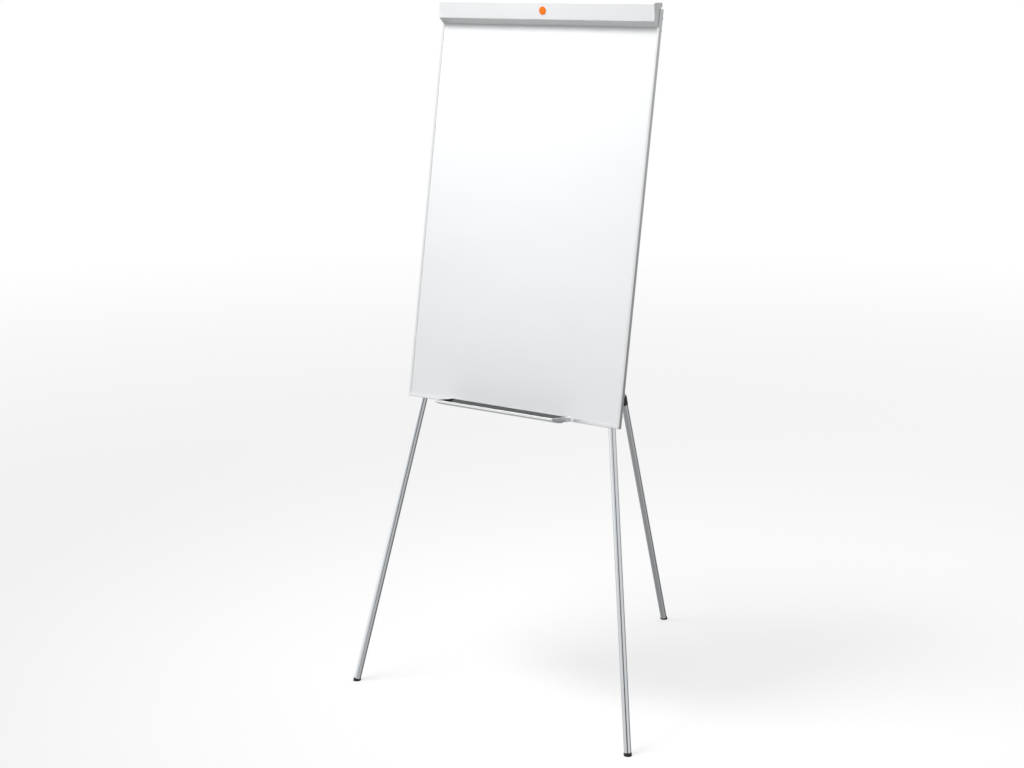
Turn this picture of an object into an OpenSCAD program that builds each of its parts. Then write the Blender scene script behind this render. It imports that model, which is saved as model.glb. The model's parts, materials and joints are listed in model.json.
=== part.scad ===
// Tripod flipchart easel. A framed writing board leans back on two splayed
// front legs and one rear strut, all telescopic. A sprung clamp bar holds a
// paper pad at the top, and a pen tray folds out of the bottom edge.
// Millimetres. X runs across the board, Y to the back, Z up. The origin is
// on the floor in the middle of the footprint.

/* [Board] */
// Width of the board over its frame
board_w = 675; // [640:5:720]
// Height of the board over its frame, along its slope
board_h = 1054; // [1000:1:1100]
// Thickness of the frame
board_t = 13; // [13:0.5:16]
// Angle that the board leans back from upright
tilt = 9.57; // [7:0.01:12]
// Height of the board's lower front edge above the floor
board_z = 813.6; // [760:0.1:880]
// Width of the frame's lip at the sides
side_lip = 7; // [6:0.5:9]
// Width of the frame's lip at the top and bottom
end_lip = 9; // [8:0.5:11]
// Thickness of the enamelled steel face sheet
face_t = 0.5; // [0.4:0.1:0.8]

/* [Paper clamp] */
// Length of the clamp bar with its end caps
clamp_len = 667; // [640:1:668]
// How far the clamp's front stands out at its top
clamp_out = 30; // [28:0.5:36]
// How far the clamp hangs below the board's top edge
clamp_drop = 48; // [46:0.5:50]
// Wall thickness of the clamp profile
clamp_wall = 1.8; // [1.6:0.1:2]
// Distance between the two pad pegs
peg_gap = 510; // [420:5:540]

/* [Pen tray] */
// Length of the tray over its end walls
tray_len = 374; // [300:2:420]
// Depth of the tray from the board to its lip
tray_depth = 79; // [70:1:84]

/* [Legs] */
// Splay of each front leg from the board's centre line
splay = 9.97; // [7:0.01:12]
// Distance of each front leg's pivot from the centre line
pivot_x = 124; // [110:1:140]
// Lean of the rear leg from upright
rear_lean = 18.84; // [16:0.01:22]
// Outer diameter of the lower tubes
lower_d = 19; // [18:0.5:20]
// Outer diameter of the upper tubes
upper_d = 15; // [14:0.5:15]
// Wall thickness of the tubes
tube_wall = 1.2; // [1:0.1:1.3]
// Length of the front legs' lower tubes
front_lower = 900; // [880:5:920]
// Length of the rear leg's lower tube
rear_lower = 764; // [700:2:800]

/* [Hidden] */
$fn = 64;
corner_steps = 4;
gap = 0.05;

// Layers of the board, as depths behind its front face
lip_t = 1.3;
back_t = 0.4;
frame_wall = 1.2;
key_t = 2.6;
frame_r = 3.4;
panel_inset = frame_wall + key_t + 0.5;
face_b = lip_t + gap;
core_b = face_b + face_t + gap;
back_b = board_t - lip_t - gap - back_t;
rail_t = 2;
rail_back = board_t + rail_t;

// Rails on the board's back, measured up the slope from its lower edge
top_rail_u = board_h - 69;
top_rail_h = 60;
low_rail_u = 22;
low_rail_h = 36;
rail_half = board_w / 2 - 3.5;
rivet_r = 2;
rivet_x = board_w / 2 - side_lip / 2 - 0.4;
top_rivets = [for (s = [-1, 1], u = [15, 45]) [s * rivet_x, top_rail_u + u]];
low_rivets = [for (s = [-1, 1], u = [9, 27]) [s * rivet_x, low_rail_u + u]];

// Front leg pivots
pivot_u = board_h - 44;
leg_b = board_t + 13;
hub_t = 2.5;
hub_back = rail_back + 22;
hub_w = 30;
hub_plate_w = 54;
pin_r = 3;
bore_r = pin_r + gap;
hub_screws = [for (s = [-1, 1], d = [-20.5, 20.5]) [s * pivot_x + d, pivot_u]];

// Rear leg hinge
rear_u = board_h - 32;
rear_b = board_t + 20.3;
ear_x = 9;
ear_t = 2.5;
plate_w = 56;
plate_u = rear_u - 22;
plate_h = 44;
rear_screws = [for (x = [-21, 21], u = [8, 36]) [x, plate_u + u]];
heel = 18;

// Guides that stop the front legs at their full splay
guide_u = 40;
guide_h = 20;
guide_t = 2;
guide_leg_x = pivot_x + (pivot_u - guide_u) * tan(splay);
guide_out = guide_leg_x + lower_d / 2 / cos(splay) + guide_h / 2 * tan(splay) + 2.5;
guide_in = pivot_x - lower_d / 2 - 1.5;
guide_back = leg_b + lower_d / 2 + 1 + guide_t;
guide_foot = 18;
guide_rivets = [
    for (s = [-1, 1], x = [guide_in - guide_t - 9, guide_out + guide_t + 9]) [s * x, guide_u]
];

// Telescopic tubes, as distances along a leg from its pivot
upper_r = upper_d / 2;
lower_r = lower_d / 2;
upper_bore = upper_r - tube_wall;
lower_bore = lower_r - tube_wall;
overlap = 100;
front_end = 18;
rear_end = 20;
foot_r = lower_r + 1;
foot_up = 6;
foot_cap = 1;
foot_stem = 24;
collar_r = lower_r + 0.5;
collar_h = 28;
front_z = board_z + pivot_u * cos(tilt) - leg_b * sin(tilt);
front_len = front_z / cos(splay) / cos(tilt);
rear_z = board_z + rear_u * cos(tilt) - rear_b * sin(tilt);
rear_len = rear_z / cos(rear_lean);

// The board's lower front edge in Y, so that the footprint is centred
front_foot_y = leg_b * cos(tilt) + pivot_u * sin(tilt) - front_z * tan(tilt);
rear_pivot_y = rear_b * cos(tilt) + rear_u * sin(tilt);
rear_foot_y = rear_pivot_y + rear_z * tan(rear_lean);
front_reach = front_foot_y - foot_r / cos(tilt);
rear_reach = rear_foot_y + foot_r / cos(rear_lean);
board_y = -(front_reach + rear_reach) / 2;

// Clamp outline across the bar: depth behind the board's front, height above its top
rod_r = 2.5;
rod_at = [4.5, 8];
barrel_r = 6.5;
clamp_half = clamp_len / 2;
cap_t = 4;
clamp_path = [
    [-1, -clamp_drop],
    [-clamp_out + 9.5, -clamp_drop + 12],
    [-clamp_out, 8.4],
    [rod_at[0], rod_at[1] + barrel_r - 0.2]
];
clamp_round = 3.2;
bracket_w = 14;
bracket_r = 4.3;
spring_len = 21;
outer_bracket = 300;
bracket_x = [-outer_bracket, 0, outer_bracket];
window_out = outer_bracket + bracket_w / 2 + 2;
window_in = outer_bracket - bracket_w / 2 - spring_len - 4;
window_mid = bracket_w / 2 + 2;
barrels = [
    for (s = [-1, 1], w = [[window_mid, window_in], [window_out, clamp_half - cap_t]])
        [s * (w[0] + w[1]) / 2, w[1] - w[0]]
];
spring_x = outer_bracket - bracket_w / 2 - 1.5;
coil_r = 3.5;
wire_r = 0.5;
coil_turns = 7;
coil_steps = 12;
badge_r = 10.5;

// Peg rail and pegs
peg_u = -22;
rail_high = 18;
rail_front = -3;

// Tray outline across the trough, from the frame's lower lip
tray_wall = 1.6;
tray_rim = 3;
tray_lip = 0;
tray_rear = 0.8;
tray_r = 92;
tray_c = [-tray_depth / 2 - 2.5, tray_r - 12.7];
tray_pin = [-10, -0.5];
tray_pin_r = 1.5;
tray_half = tray_len / 2;
tray_end_t = 2.5;
liner_t = 1.3;
lug_t = 2.4;

// ---------- Outlines ----------

function unit(v) = v / norm(v);
function leftward(v) = [-v[1], v[0]];
function backward(p) = [for (i = [len(p) - 1:-1:0]) p[i]];
function polar(c, r, a) = [c[0] + r * cos(a), c[1] + r * sin(a)];
function arc(c, r, a0, a1, n) = [for (i = [0:n]) polar(c, r, a0 + (a1 - a0) * i / n)];
function turn(a, b, c) = sign((b[0] - a[0]) * (c[1] - b[1]) - (b[1] - a[1]) * (c[0] - b[0]));
function short_way(a) = a > 180 ? a - 360 : a < -180 ? a + 360 : a;
function bearing(v) = atan2(v[1], v[0]);

// One corner of a path, rounded to radius r
function corner(a, b, c, r) =
    let (
        u = unit(a - b),
        v = unit(c - b),
        half = acos(u * v) / 2,
        centre = b + unit(u + v) * r / sin(half),
        a0 = bearing(b + u * r / tan(half) - centre),
        a1 = bearing(b + v * r / tan(half) - centre)
    )
    arc(centre, r, a0, a0 + short_way(a1 - a0), corner_steps);

// A path with its inner corners rounded, for the side that lies t to its left
function rounded(p, r, t = 0) = [
    for (i = [0:len(p) - 1])
        if (i == 0 || i == len(p) - 1) p[i]
        else each corner(p[i - 1], p[i], p[i + 1], r - t * turn(p[i - 1], p[i], p[i + 1]))
];

// A path moved t to its left
function moved(p, t) = [
    for (i = [0:len(p) - 1])
        let (
            n1 = leftward(unit(p[max(i, 1)] - p[max(i, 1) - 1])),
            n2 = leftward(unit(p[min(i + 1, len(p) - 1)] - p[min(i, len(p) - 2)]))
        )
        p[i] + t * (n1 + n2) / (1 + n1 * n2)
];

// Bent sheet of thickness t to the left of a path
function bent(p, t, r) = concat(rounded(p, r), backward(rounded(moved(p, t), r, t)));

// ---------- Places ----------

// On the board: X, depth behind its front face, height up its slope
module on_board() {
    translate([0, board_y, board_z]) rotate([-tilt, 0, 0]) children();
}

module on_board_top() {
    on_board() translate([0, 0, board_h]) children();
}

module on_tray() {
    on_board() translate([0, 0, end_lip]) children();
}

// At a front leg's pivot, the leg running along -Z
module on_front_leg(side) {
    on_board() translate([side * pivot_x, leg_b, pivot_u]) rotate([0, -side * splay, 0]) children();
}

// At the rear leg's pivot, the leg running along -Z
module on_rear_leg() {
    translate([0, board_y + rear_pivot_y, rear_z]) rotate([rear_lean, 0, 0]) children();
}

// Extrudes an outline of (depth, height) along X, about x
module along_x(x, len) {
    translate([x, 0, 0]) rotate([90, 0, 90]) linear_extrude(len, center = true) children();
}

// Extrudes an outline of (x, height) backwards, from depth b0 to b1
module through_board(b0, b1) {
    translate([0, b1, 0]) rotate([90, 0, 0]) linear_extrude(b1 - b0) children();
}

// Extrudes an outline of (x, depth) up the slope
module up_board(u, len) {
    translate([0, 0, u]) linear_extrude(len) children();
}

module slab(x0, x1, b0, b1, u0, u1) {
    translate([x0, b0, u0]) cube([x1 - x0, b1 - b0, u1 - u0]);
}

// Round holes or shanks at points of (x, height), from depth b0 to b1
module drill(points, r, b0, b1) {
    for (p = points) translate([p[0], b0, p[1]]) rotate([-90, 0, 0]) cylinder(h = b1 - b0, r = r);
}

// Ring or rod along -Z, from distance d0 to d1
module rod(r, d0, d1) {
    translate([0, 0, -d1]) cylinder(h = d1 - d0, r = r);
}

// ---------- Board ----------

module panel(b, t, inset) {
    half = board_w / 2 - inset;
    on_board() slab(-half, half, b, b + t, inset, board_h - inset);
}

module face_sheet() {
    color("white") panel(face_b, face_t, panel_inset);
}

module board_core() {
    color("burlywood") panel(core_b, back_b - gap - core_b, panel_inset);
}

module back_sheet() {
    color("lightgray") panel(back_b, back_t, panel_inset);
}

// Channel section of the frame: the outer wall at 0, the slot open to +X
module channel(lip) {
    edge = 1;
    slot = lip_t;
    polygon([
        [0, edge], [edge, 0], [lip, 0], [lip, slot], [frame_wall, slot],
        [frame_wall, board_t - slot], [lip, board_t - slot], [lip, board_t],
        [edge, board_t], [0, board_t - edge]
    ]);
}

// Mitred shape of a frame member, seen from the front
module side_mitre() {
    half = board_w / 2;
    polygon([
        [-half, gap], [-half, board_h - gap],
        [-half + side_lip, board_h - end_lip - gap], [-half + side_lip, end_lip + gap]
    ]);
}

module end_mitre() {
    half = board_w / 2 - gap;
    polygon([[-half, 0], [half, 0], [half - side_lip, end_lip], [-half + side_lip, end_lip]]);
}

// Outline of the whole frame with its rounded corners
module frame_outline() {
    half = board_w / 2 - frame_r;
    polygon([
        each arc([half, board_h - frame_r], frame_r, 0, 90, 6),
        each arc([-half, board_h - frame_r], frame_r, 90, 180, 6),
        each arc([-half, frame_r], frame_r, 180, 270, 6),
        each arc([half, frame_r], frame_r, 270, 360, 6)
    ]);
}

module frame_side(side) {
    mirrored = side > 0 ? 1 : 0;
    color("silver") on_board() difference() {
        intersection() {
            through_board(-1, board_t + 1) frame_outline();
            mirror([mirrored, 0, 0]) translate([-board_w / 2, 0, 0]) up_board(0, board_h) channel(side_lip);
            mirror([mirrored, 0, 0]) through_board(-1, board_t + 1) side_mitre();
        }
        drill(concat(top_rivets, low_rivets), rivet_r + gap, board_t - lip_t - 1, board_t + 1);
    }
}

module frame_end(top) {
    color("silver") on_board() translate([0, 0, top ? board_h : 0]) mirror([0, 0, top ? 1 : 0])
        intersection() {
            through_board(-1, board_t + 1) frame_outline();
            along_x(0, board_w) mirror([1, -1]) channel(end_lip);
            through_board(-1, board_t + 1) end_mitre();
        }
}

// L-shaped keys that join the frame's corners inside its channel
module corner_keys() {
    leg = 24;
    inset = frame_wall + gap;
    color("gray") on_board() for (side = [0, 1], top = [0, 1])
        translate([0, 0, top * board_h]) mirror([0, 0, top]) mirror([side, 0, 0])
            translate([-board_w / 2, 0, 0]) {
                through_board(lip_t + 1, board_t - lip_t - 1) polygon([
                    [inset, inset], [leg, inset], [leg, inset + key_t],
                    [inset + key_t, inset + key_t], [inset + key_t, leg], [inset, leg]
                ]);
            }
}

// ---------- Rails, guides and leg brackets ----------

module top_rail() {
    color("silver") on_board() difference() {
        slab(-rail_half, rail_half, board_t, rail_back, top_rail_u, top_rail_u + top_rail_h);
        drill(concat(top_rivets, hub_screws, rear_screws), rivet_r + gap, board_t - 1, rail_back + 1);
    }
}

module lower_rail() {
    color("silver") on_board() difference() {
        slab(-rail_half, rail_half, board_t, rail_back, low_rail_u, low_rail_u + low_rail_h);
        drill(concat(low_rivets, guide_rivets), rivet_r + gap, board_t - 1, rail_back + 1);
    }
}

// Bent strap behind a front leg. Its outer leg is the splay stop
module leg_guide(side) {
    path = [
        [guide_in - guide_t - guide_foot, rail_back + guide_t],
        [guide_in - guide_t, rail_back + guide_t],
        [guide_in - guide_t, guide_back],
        [guide_out + guide_t, guide_back],
        [guide_out + guide_t, rail_back + guide_t],
        [guide_out + guide_t + guide_foot, rail_back + guide_t]
    ];
    color("dimgray") on_board() difference() {
        mirror([side < 0 ? 1 : 0, 0, 0]) up_board(guide_u - guide_h / 2, guide_h)
            polygon(bent(path, -guide_t, guide_t + 0.6));
        drill(guide_rivets, rivet_r + gap, rail_back - 1, rail_back + guide_t + 1);
    }
}

// Pan-head fastener with its head on the plate at depth b
module fastener(b, reach, r) {
    rotate([-90, 0, 0]) {
        translate([0, 0, reach]) cylinder(h = b - reach, r = rivet_r);
        translate([0, 0, b]) cylinder(h = 0.8, r = r);
        translate([0, 0, b + 0.8]) cylinder(h = 0.9, r1 = r, r2 = r * 0.6);
    }
}

module rail_rivets() {
    reach = board_t - lip_t + 0.1;
    color("gainsboro") on_board() {
        for (p = concat(top_rivets, low_rivets)) translate([p[0], 0, p[1]]) fastener(rail_back, reach, 3);
        for (p = guide_rivets) translate([p[0], 0, p[1]])
            fastener(rail_back + guide_t, board_t + 0.1, 3.6);
    }
}

module bracket_screws() {
    color("gainsboro") on_board() for (p = concat(hub_screws, rear_screws))
        translate([p[0], 0, p[1]]) fastener(rail_back + hub_t, board_t + 0.1, 3.8);
}

// U-shaped bracket that holds a front leg's pivot pin
module leg_hub(side) {
    path = [
        [rail_back, pivot_u - 14], [rail_back, pivot_u + 16.5],
        [hub_back, pivot_u + 16.5], [hub_back, pivot_u - 12]
    ];
    color("dimgray") on_board() difference() {
        union() {
            along_x(side * pivot_x, hub_w) polygon(bent(path, -hub_t, hub_t + 0.8));
            slab(
                side * pivot_x - hub_plate_w / 2, side * pivot_x + hub_plate_w / 2,
                rail_back, rail_back + hub_t, pivot_u - 14, pivot_u + 10
            );
        }
        drill([[side * pivot_x, pivot_u]], bore_r, rail_back - 1, hub_back + 1);
        drill(hub_screws, rivet_r + gap, rail_back - 1, rail_back + hub_t + 1);
    }
}

module front_leg_pins() {
    head_r = 5.5;
    color("gainsboro") on_board() {
        drill([for (s = [-1, 1]) [s * pivot_x, pivot_u]], pin_r, rail_back + 0.2, hub_back + gap);
        drill([for (s = [-1, 1]) [s * pivot_x, pivot_u]], head_r, hub_back + gap, hub_back + 2.5);
    }
}

// Base plate with two ears for the rear leg's pin
module rear_leg_bracket() {
    ear_r = 9;
    base = rail_back + hub_t;
    color("dimgray") on_board() difference() {
        union() {
            slab(-plate_w / 2, plate_w / 2, rail_back, base, plate_u, plate_u + plate_h);
            for (s = [-1, 1]) along_x(s * (ear_x + ear_t / 2), ear_t) {
                translate([rear_b, rear_u]) circle(ear_r);
                polygon([
                    [base - 1, rear_u - 16], [base - 1, rear_u + 16],
                    [rear_b, rear_u + ear_r], [rear_b, rear_u - ear_r]
                ]);
            }
        }
        along_x(0, plate_w) translate([rear_b, rear_u]) circle(bore_r);
        drill(rear_screws, rivet_r + gap, rail_back - 1, base + 1);
    }
}

module rear_leg_pin() {
    grip = ear_x + ear_t + gap;
    color("gainsboro") on_board() {
        along_x(0, 2 * grip) translate([rear_b, rear_u]) circle(pin_r);
        for (s = [-1, 1]) along_x(s * (grip + 1.1), 2.2) translate([rear_b, rear_u]) circle(5);
    }
}

// ---------- Paper clamp ----------

module clamp_rod() {
    color("gainsboro") on_board_top() along_x(0, 2 * (clamp_half - cap_t - 1)) translate(rod_at) circle(rod_r);
}

// Eyes on the board's top edge that carry the rod
module clamp_brackets() {
    color("dimgray") on_board_top() for (x = bracket_x) along_x(x, bracket_w) difference() {
        union() {
            translate(rod_at) circle(bracket_r);
            polygon([[0.5, 0], [12, 0], [12, 1.6], [rod_at[0] + bracket_r, rod_at[1]],
                [rod_at[0] - bracket_r, rod_at[1]], [0.5, 1.6]]);
        }
        translate(rod_at) circle(rod_r + gap);
    }
}

// Path of a torsion spring: front leg, coil round the rod, rear leg
function spring_path() =
    let (
        pitch = (spring_len - 4) / coil_turns,
        turns = [
            for (i = [0:(coil_turns + 0.25) * coil_steps])
                let (a = 90 - 360 * i / coil_steps)
                [i / coil_steps * pitch, rod_at[0] + coil_r * cos(a), rod_at[1] + coil_r * sin(a)]
        ],
        last = turns[len(turns) - 1]
    )
    concat([[0, -20, 6.6]], turns, [[last[0], last[1], wire_r + 0.1]]);

// Wire swept along a path of 3D points, as rings across the path
module wire(path, r, sides) {
    n = len(path);
    rings = [
        for (i = [0:n - 1])
            let (
                d = unit(path[min(i + 1, n - 1)] - path[max(i - 1, 0)]),
                u = unit(cross(d, [1, 0.01, 0.02])),
                v = cross(d, u)
            )
            for (k = [0:sides - 1])
                path[i] + r * (cos(360 * k / sides) * u + sin(360 * k / sides) * v)
    ];
    skin = [
        for (i = [0:n - 2], k = [0:sides - 1])
            let (j = (k + 1) % sides)
            [i * sides + k, i * sides + j, (i + 1) * sides + j, (i + 1) * sides + k]
    ];
    ends = [
        [for (k = [sides - 1:-1:0]) k],
        [for (k = [0:sides - 1]) (n - 1) * sides + k]
    ];
    polyhedron(rings, concat(ends, skin));
}

module clamp_springs() {
    color("silver") on_board_top() for (side = [0, 1])
        mirror([side, 0, 0]) translate([spring_x, 0, 0]) mirror([1, 0, 0]) wire(spring_path(), wire_r, 6);
}

module clamp_bar() {
    color("whitesmoke") on_board_top() difference() {
        union() {
            along_x(0, 2 * (clamp_half - cap_t)) polygon(bent(clamp_path, -clamp_wall, clamp_round));
            for (w = barrels) along_x(w[0], w[1]) translate(rod_at) circle(barrel_r);
        }
        along_x(0, clamp_len) translate(rod_at) circle(rod_r + gap);
    }
}

module clamp_cap(side) {
    low = rod_at[1] - barrel_r + 1;
    x = side * (clamp_half - cap_t / 2);
    color("lightgray") on_board_top() {
        along_x(x, cap_t - gap)
            polygon(concat(rounded(clamp_path, clamp_round), [[rod_at[0], low], [-1, low]]));
        along_x(x, cap_t - gap) translate(rod_at) circle(barrel_r);
    }
}

// Rubber strip along the clamp's lower edge that presses on the pad
module clamp_grip() {
    foot = -clamp_drop + 2.3;
    color("dimgray") on_board_top() along_x(0, clamp_len - 20)
        polygon([[-6, foot + 3.2], [-1, foot], [1.2, foot], [1.2, foot + 3.2], [-6, foot + 6.4]]);
}

// Plain round badge in the middle of the clamp's front
module clamp_badge() {
    low = clamp_path[1];
    high = clamp_path[2];
    mid = (low + high) / 2;
    lean = atan2(high[0] - low[0], high[1] - low[1]);
    color("darkorange") on_board_top() translate([0, mid[0], mid[1]]) rotate([-lean, 0, 0])
        rotate([90, 0, 0]) translate([0, 0, gap]) cylinder(h = 1, r = badge_r);
}

// ---------- Pad pegs ----------

// Slotted rail on the board's face, under the clamp
module peg_rail() {
    u = peg_u - rail_high / 2;
    color("silver") on_board_top() along_x(0, clamp_len - 40) polygon([
        [face_b - gap, u], [face_b - gap, u + rail_high], [rail_front, u + rail_high],
        [rail_front, u + 12], [rail_front + 1.5, u + 12], [rail_front + 1.5, u + 14.5],
        [rail_front + 3.3, u + 14.5], [rail_front + 3.3, u + 3.5], [rail_front + 1.5, u + 3.5],
        [rail_front + 1.5, u + 6], [rail_front, u + 6], [rail_front, u]
    ]);
}

// Peg with a slider in the rail's slot
module peg(side) {
    x = side * peg_gap / 2;
    front = rail_front;
    color("dimgray") on_board_top() {
        slab(x - 8, x + 8, front + 1.6, front + 3.2, peg_u - 5.3, peg_u + 5.3);
        slab(x - 7, x + 7, front - 0.5, front + 2, peg_u - 2.8, peg_u + 2.8);
        slab(x - 9, x + 9, front - 2.6, front - 0.1, peg_u - 8, peg_u + 8);
        drill([[x, peg_u]], pin_r, front - 13, front - 2);
    }
}

// ---------- Pen tray ----------

// Angle at which a circle of radius r about the trough's centre is at depth b
function at_depth(b, r) = -acos((b - tray_c[0]) / r);
function trough(r, b0, b1, n) = arc(tray_c, r, at_depth(b0, r), at_depth(b1, r), n);

module pen_tray() {
    inner = tray_r - tray_wall;
    steps = 20;
    len = tray_len - 2 * tray_end_t - 2 * gap;
    color("gainsboro") on_tray() {
        along_x(0, len) polygon(concat(
            [[-tray_rear, tray_rim]],
            trough(tray_r, -tray_rear, -tray_depth, steps),
            [[-tray_depth, tray_lip], [-tray_depth + tray_wall, tray_lip]],
            trough(inner, -tray_depth + tray_wall, -tray_rear - tray_wall, steps),
            [[-tray_rear - tray_wall, tray_rim]]
        ));
        along_x(0, len) translate([-tray_depth + 0.6, tray_lip - 0.9]) circle(1.3);
    }
}

module tray_end(side) {
    color("gainsboro") on_tray() along_x(side * (tray_half - tray_end_t / 2), tray_end_t) difference() {
        polygon(concat(
            [[-tray_rear, tray_rim]],
            trough(tray_r, -tray_rear, -tray_depth, 20),
            [[-tray_depth, tray_lip], [-tray_depth + tray_wall, tray_lip]]
        ));
        translate(tray_pin) circle(tray_pin_r + gap);
    }
}

// Dark moulded liner that covers the trough and its ends
module tray_liner() {
    under = tray_r - tray_wall - gap;
    over = under - liner_t;
    rear = -tray_rear - tray_wall - 0.2;
    front = -tray_depth + tray_wall + 0.4;
    half = tray_half - tray_end_t - 0.4;
    color("dimgray") on_tray() {
        along_x(0, 2 * half) polygon(concat(trough(under, rear, front, 20), trough(over, front, rear, 20)));
        for (s = [-1, 1]) along_x(s * (half - liner_t / 2), liner_t)
            polygon(concat(
                trough(under, rear, front, 20),
                [[front, tray_lip - 0.8], [rear, tray_rim - 1.2]]
            ));
    }
}

// Ear beside the tray with a foot on the frame and a stop under the tray
module tray_lug(side) {
    x0 = tray_half + 0.3;
    color("lightgray") on_tray() mirror([side < 0 ? 1 : 0, 0, 0]) {
        difference() {
            union() {
                along_x(x0 + lug_t / 2, lug_t)
                    polygon(concat([[-gap, -8.5]],
                        rounded([[-gap, 1.6], [-4, 2.6], [-15, 2.6], [-15, -10.2], [-9, -10.2]], 2)));
                slab(x0, x0 + 16, -1.5, -gap, -8, -1);
            }
            along_x(x0, 10) translate(tray_pin) circle(tray_pin_r + gap);
        }
        slab(x0 - 6, x0 + 0.5, -14.9, -13.2, -10.2, -8.75);
    }
}

module tray_pins() {
    color("gainsboro") on_tray() for (s = [-1, 1]) {
        along_x(s * (tray_half + 0.8), 7.4) translate(tray_pin) circle(tray_pin_r);
        along_x(s * (tray_half + 0.3 + lug_t + 0.9), 1.6) translate(tray_pin) circle(2.6);
    }
}

// ---------- Legs, all drawn along -Z from the pivot ----------

module front_leg_end() {
    half = upper_r + 0.5;
    difference() {
        union() {
            through_board(-half, half) {
                circle(half);
                polygon([[-half, 0], [half, 0], [half, -front_end], [-half, -front_end]]);
            }
            rod(upper_bore - gap, front_end - 1, front_end + 26);
        }
        drill([[0, 0]], bore_r, -half - 1, half + 1);
    }
}

// The heel above the pin meets the bracket's plate when the leg is open
module rear_leg_end() {
    half = 8;
    difference() {
        union() {
            along_x(0, 2 * (ear_x - 0.4)) polygon([
                [-half, heel], [half - 5, heel], [half, heel - 5],
                [half, -rear_end], [-half, -rear_end]
            ]);
            rod(upper_bore - gap, rear_end - 1, rear_end + 26);
        }
        along_x(0, 4 * half) circle(bore_r);
    }
}

module upper_tube(top, len, lower) {
    bottom = len - lower + overlap;
    color("silver") difference() {
        rod(upper_r, top + gap, bottom);
        rod(upper_bore, top - 1, bottom + 1);
    }
}

// Plug in the upper tube's foot that runs in the lower tube
module slider(len, lower) {
    bottom = len - lower + overlap;
    color("dimgray") {
        rod(upper_bore - gap, bottom - 20, bottom + 1);
        rod(lower_bore - gap, bottom + gap, bottom + 12);
    }
}

module lower_tube(len, lower) {
    color("silver") difference() {
        rod(lower_r, len - lower, len - foot_up);
        rod(lower_bore, len - lower - 1, len - foot_up + 1);
    }
}

// Flanged bush in the lower tube's mouth, and the neck that the collar turns on
module bush(len, lower) {
    top = len - lower;
    color("dimgray") difference() {
        union() {
            rod(lower_bore - 0.03, top - 22, top + 25);
            rod(lower_r - 0.1, top - 1.5, top - gap);
        }
        rod(upper_r + gap, top - 23, top + 26);
    }
}

// Fluted twist collar that locks the tubes
module collar(len, lower) {
    top = len - lower;
    flutes = 12;
    color("black") difference() {
        rod(collar_r, top - collar_h, top - 1.6);
        rod(lower_bore + 0.03, top - 22.3, top);
        rod(upper_r + 0.3, top - collar_h - 1, top);
        for (i = [0:flutes - 1]) rotate([0, 0, 360 * i / flutes]) translate([collar_r + 0.35, 0, 0])
            rod(0.8, top - collar_h + 4, top - 5);
    }
}

// Rubber foot cut flat where it meets the floor
module foot(len) {
    color("black") difference() {
        union() {
            rod(foot_r, len - foot_up - foot_cap, len + 8);
            rod(lower_bore - gap, len - foot_up - foot_stem, len);
        }
        difference() {
            rod(lower_r + gap, len - foot_up - foot_cap - 1, len - foot_up + gap);
            rod(lower_bore - gap, len - foot_up - foot_stem, len);
        }
    }
}

// Everything below the floor taken away
module above_floor() {
    difference() {
        children();
        translate([-1000, -1000, -50]) cube([2000, 2000, 50]);
    }
}

module front_foot(side) {
    above_floor() on_front_leg(side) foot(front_len);
}

module rear_foot() {
    above_floor() on_rear_leg() foot(rear_len);
}

face_sheet();
board_core();
back_sheet();
frame_side(-1);  // frame_left
frame_side(1);  // frame_right
frame_end(true);  // frame_top
frame_end(false);  // frame_bottom
corner_keys();
top_rail();
lower_rail();
leg_guide(-1);  // leg_guide_left
leg_guide(1);  // leg_guide_right
rail_rivets();
bracket_screws();
leg_hub(-1);  // leg_hub_left
leg_hub(1);  // leg_hub_right
front_leg_pins();
rear_leg_bracket();
rear_leg_pin();
clamp_rod();
clamp_brackets();
clamp_springs();
peg_rail();
peg(-1);  // peg_left
peg(1);  // peg_right
clamp_bar();
clamp_cap(-1);  // clamp_cap_left
clamp_cap(1);  // clamp_cap_right
clamp_grip();
clamp_badge();
tray_lug(-1);  // tray_lug_left
tray_lug(1);  // tray_lug_right
tray_pins();
pen_tray();
tray_end(-1);  // tray_end_left
tray_end(1);  // tray_end_right
tray_liner();
color("dimgray") on_front_leg(-1) front_leg_end();  // leg_end_left
on_front_leg(-1) upper_tube(front_end, front_len, front_lower);  // upper_tube_left
on_front_leg(-1) slider(front_len, front_lower);  // slider_left
on_front_leg(-1) lower_tube(front_len, front_lower);  // lower_tube_left
on_front_leg(-1) bush(front_len, front_lower);  // bush_left
on_front_leg(-1) collar(front_len, front_lower);  // collar_left
front_foot(-1);  // foot_left
color("dimgray") on_front_leg(1) front_leg_end();  // leg_end_right
on_front_leg(1) upper_tube(front_end, front_len, front_lower);  // upper_tube_right
on_front_leg(1) slider(front_len, front_lower);  // slider_right
on_front_leg(1) lower_tube(front_len, front_lower);  // lower_tube_right
on_front_leg(1) bush(front_len, front_lower);  // bush_right
on_front_leg(1) collar(front_len, front_lower);  // collar_right
front_foot(1);  // foot_right
color("dimgray") on_rear_leg() rear_leg_end();  // leg_end_rear
on_rear_leg() upper_tube(rear_end, rear_len, rear_lower);  // upper_tube_rear
on_rear_leg() slider(rear_len, rear_lower);  // slider_rear
on_rear_leg() lower_tube(rear_len, rear_lower);  // lower_tube_rear
on_rear_leg() bush(rear_len, rear_lower);  // bush_rear
on_rear_leg() collar(rear_len, rear_lower);  // collar_rear
rear_foot();  // foot_rear
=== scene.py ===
"""Tripod flipchart easel: looks, light and camera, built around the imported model."""
import json
import math

import bmesh
import bpy
from mathutils import Matrix, Vector


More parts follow.
